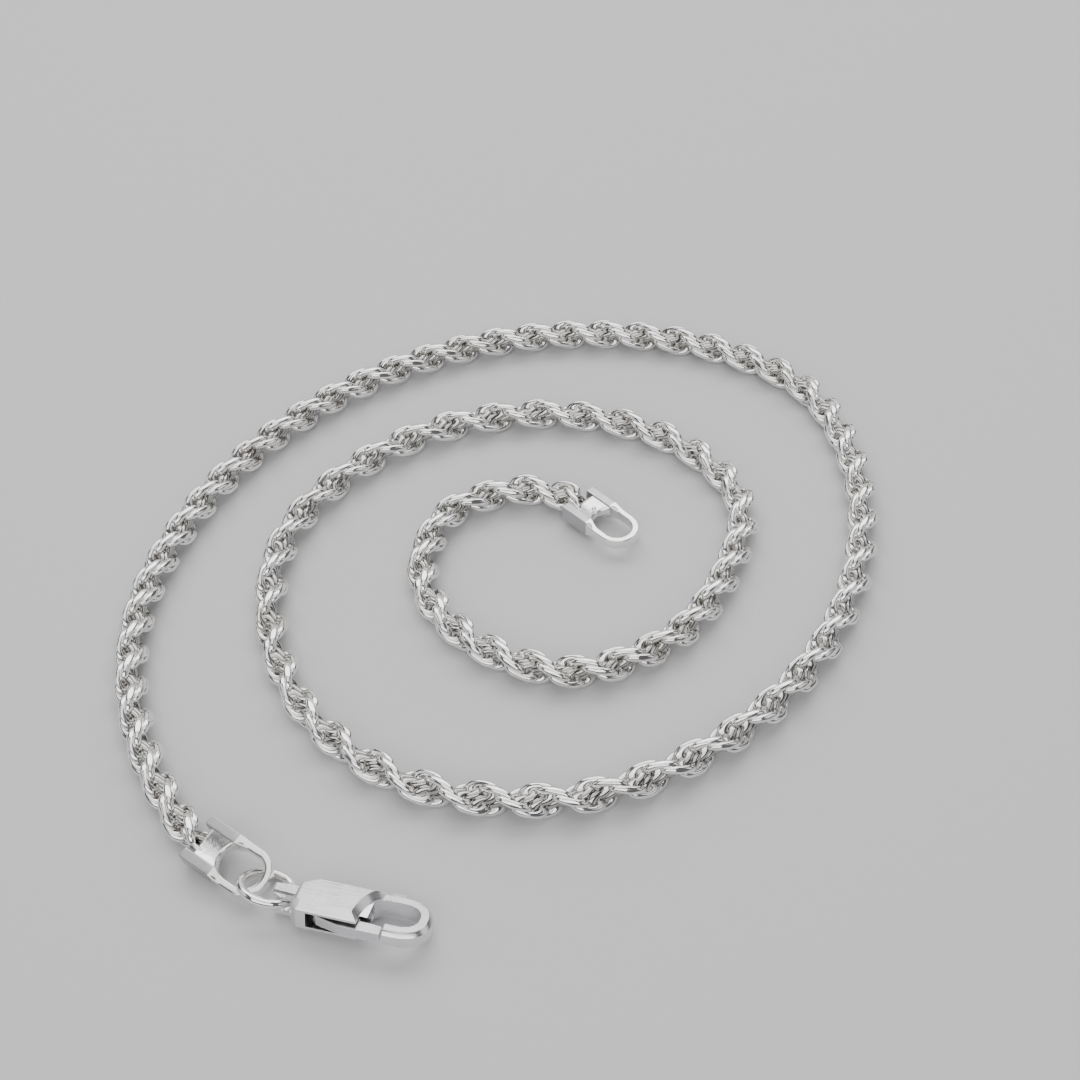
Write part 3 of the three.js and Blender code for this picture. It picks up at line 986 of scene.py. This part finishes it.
# ---- floor, light and camera --------------------------------------------------------
FLOOR_HALF = 2500.0
FLOOR_COLOUR = (0.60, 0.60, 0.61)
FLOOR_ROUGHNESS = 0.55
GRAIN_SCALE = 900
GRAIN_STRENGTH = 0.05
GRAIN_DEPTH = 0.05
# Panels of light: name, place and size in metres, and how bright the face is.
PANELS = (
    ("back", (0.0, 0.32, 0.42), (0.8, 0.30), 3.4),
    ("back_low", (0.0, 0.55, 0.20), (0.8, 0.24), 1.0),
    ("overhead", (0.0, -0.02, 0.60), (0.6, 0.40), 1.6),
    ("front", (-0.05, -0.44, 0.38), (0.8, 0.32), 2.8),
    ("left", (-0.46, 0.0, 0.22), (0.3, 0.25), 1.0),
    ("right", (0.46, 0.0, 0.22), (0.3, 0.25), 0.9),
)
SURROUND = (0.12, 0.12, 0.13)
CAMERA_BACK = 141.475
CAMERA_HEIGHT = 140.83
FOCAL_LENGTH = 59.0


def build_floor():
    """A wide pale floor with a faint grain."""
    corners = [(x * FLOOR_HALF, y * FLOOR_HALF, 0) for x, y in ((-1, -1), (1, -1), (1, 1), (-1, 1))]
    material, nodes, links, surface = shader("pale_floor", 0.0, FLOOR_ROUGHNESS, FLOOR_COLOUR)
    where = nodes.new("ShaderNodeTexCoord").outputs["Object"]
    grain = noise(nodes, links, where, GRAIN_SCALE, detail=2)
    relief = bump(nodes, links, grain, GRAIN_STRENGTH, GRAIN_DEPTH)
    links.new(relief, surface.inputs["Normal"])
    floor = new_object("floor", mesh_from("floor", corners, [(0, 1, 2, 3)]), material)


def softbox(name, at, size, radiance):
    """A soft panel aimed at the necklace; its power follows from how bright its face is."""
    light = bpy.data.lights.new(name, "AREA")
    light.shape = "RECTANGLE"
    light.size, light.size_y = size
    light.energy = radiance * math.pi * size[0] * size[1]
    lamp = bpy.data.objects.new(name, light)
    bpy.context.collection.objects.link(lamp)
    lamp.location = at
    lamp.rotation_euler = (-Vector(at)).to_track_quat("-Z", "Y").to_euler()


def build_light():
    """Soft panels on every side, and a dim even surround."""
    for name, at, size, radiance in PANELS:
        softbox(name, at, size, radiance)
    world = bpy.data.worlds.new("studio")
    bpy.context.scene.world = world
    world.use_nodes = True
    background = world.node_tree.nodes["Background"]
    background.inputs["Color"].default_value = (*SURROUND, 1)
    background.inputs["Strength"].default_value = 1.0


def build_camera():
    """The photograph's view: from in front of the necklace, looking down at about 45 degrees."""
    camera = bpy.data.objects.new("camera", bpy.data.cameras.new("camera"))
    bpy.context.collection.objects.link(camera)
    camera.data.sensor_width = 36.0
    camera.data.lens = FOCAL_LENGTH
    camera.data.clip_start = 0.01
    camera.data.clip_end = 10.0
    at = Vector((COIL_MIDDLE[0], COIL_MIDDLE[1] - CAMERA_BACK, CAMERA_HEIGHT)) * MM
    aim = Vector((*COIL_MIDDLE, ROPE_RADIUS)) * MM
    camera.location = at
    camera.rotation_euler = (aim - at).to_track_quat("-Z", "Y").to_euler()
    bpy.context.scene.camera = camera


build_camera()
build_light()
build_floor()
build_rope()
build_cap("end_cap_outer", "cap_outer", OUTER_CAP)
build_cap("end_cap_inner", "cap_inner", INNER_CAP, SOLDER_DENTS)
build_jump_ring()
build_clasp_body()
build_pin()
build_lever()
build_spring()
